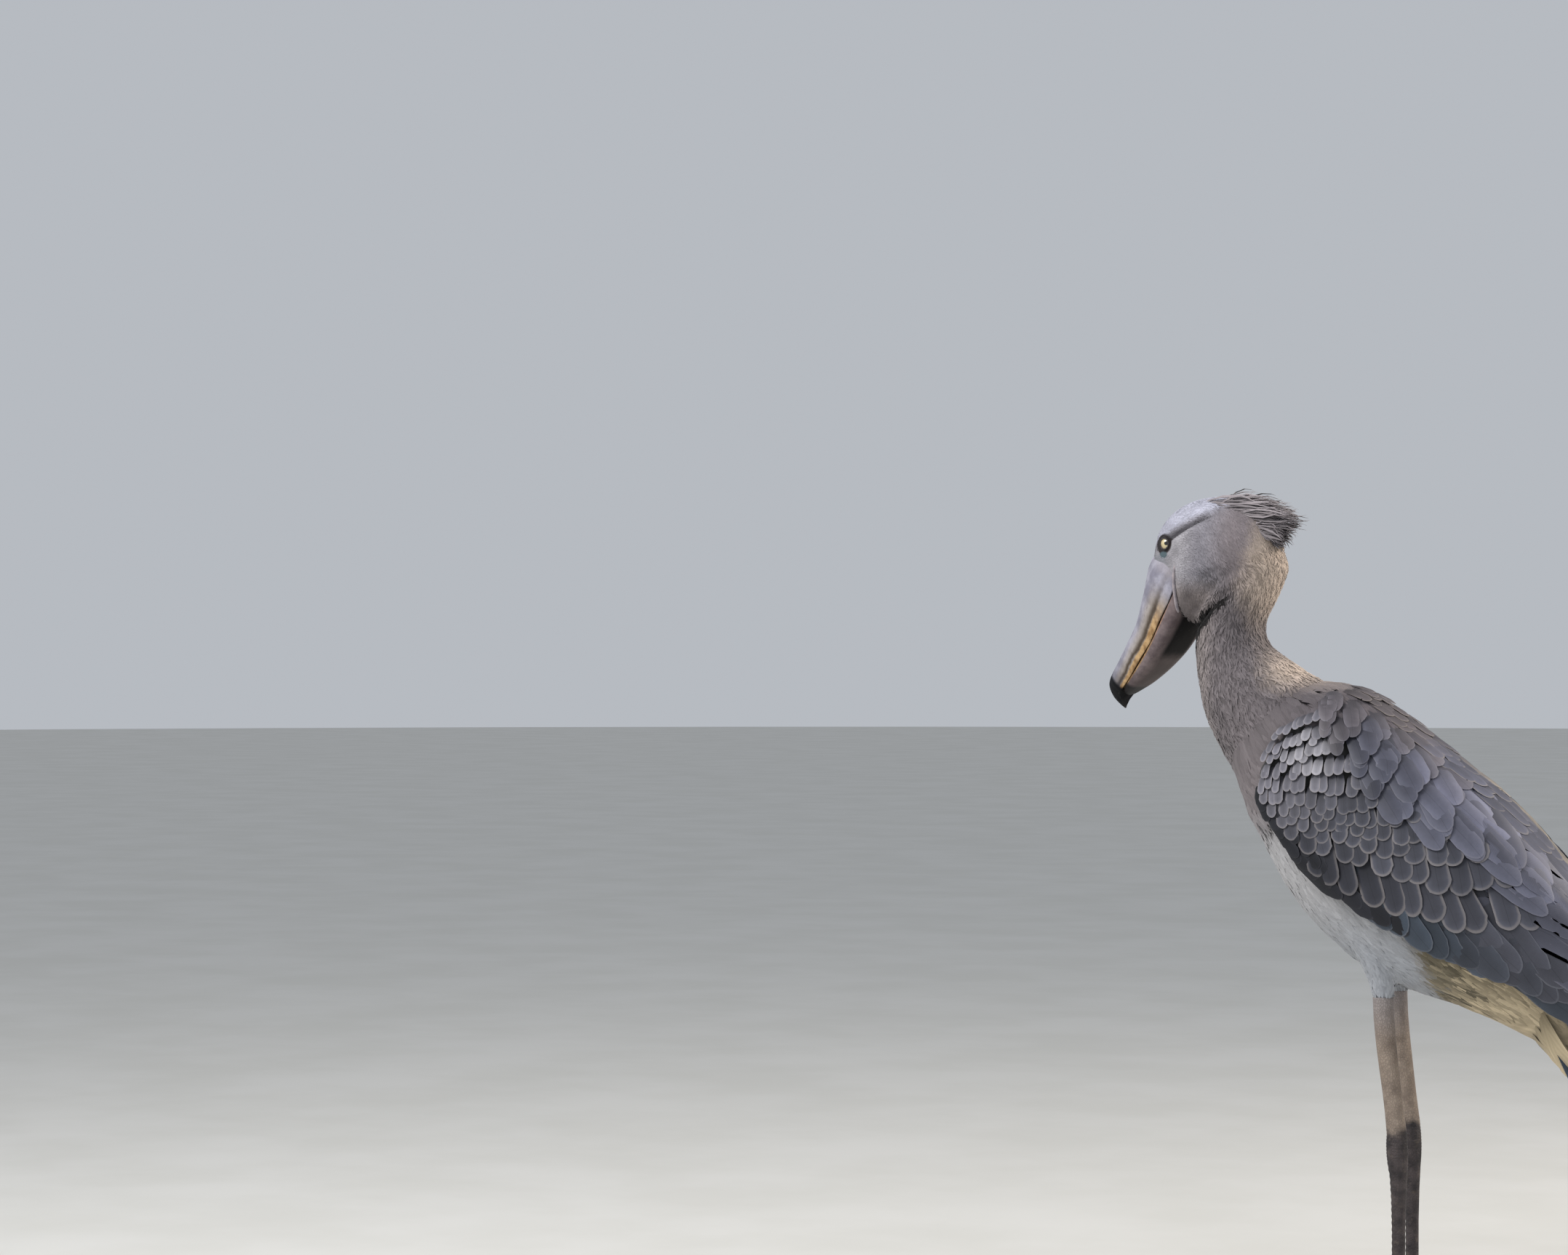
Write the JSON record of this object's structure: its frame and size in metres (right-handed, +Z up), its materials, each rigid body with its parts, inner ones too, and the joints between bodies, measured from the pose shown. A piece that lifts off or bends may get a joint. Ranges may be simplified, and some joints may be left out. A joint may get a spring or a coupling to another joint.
{
  "type": "shoebill",
  "caption": "Life-size standing shoebill with bowed head, broad hooked bill, folded wings in overlapping feathers, long bare legs and long unwebbed toes.",
  "frame": {"origin": "middle of the bird's bounding box, on the floor it stands on", "axes": "+Z up; the bird looks along -X, its tail towards +X and its left side towards -Y"},
  "size_m": [0.799, 0.3624, 1.0869],
  "materials": {
    "bill_horn": "horn, satin",
    "bill_lower_horn": "horn, satin",
    "head_feathers": "short soft feathers",
    "eye": "wet, clear over the iris",
    "neck_feathers": "short soft feathers",
    "body_feathers": "soft body feathers",
    "wing_feathers": "firm vanes with pale edges",
    "tail_feathers": "firm vanes",
    "shank_skin": "bare scaly skin, dusty",
    "leg_skin": "bare scaly skin",
    "claw_horn": "horn"
  },
  "bodies": {
    "root": {"bill_upper": "bill_horn", "bill_lower": "bill_lower_horn", "head": "head_feathers", "eye_left": "eye", "eye_right": "eye", "neck": "neck_feathers", "torso": "body_feathers", "wing_left": "wing_feathers", "wing_right": "wing_feathers", "tail": "tail_feathers", "thigh_left": "body_feathers", "shank_left": "shank_skin", "tarsus_left": "leg_skin", "toe_inner_left": "leg_skin", "claw_inner_left": "claw_horn", "toe_middle_left": "leg_skin", "claw_middle_left": "claw_horn", "toe_outer_left": "leg_skin", "claw_outer_left": "claw_horn", "toe_hind_left": "leg_skin", "claw_hind_left": "claw_horn", "thigh_right": "body_feathers", "shank_right": "shank_skin", "tarsus_right": "leg_skin", "toe_inner_right": "leg_skin", "claw_inner_right": "claw_horn", "toe_middle_right": "leg_skin", "claw_middle_right": "claw_horn", "toe_outer_right": "leg_skin", "claw_outer_right": "claw_horn", "toe_hind_right": "leg_skin", "claw_hind_right": "claw_horn"}
  },
  "joints": []
}
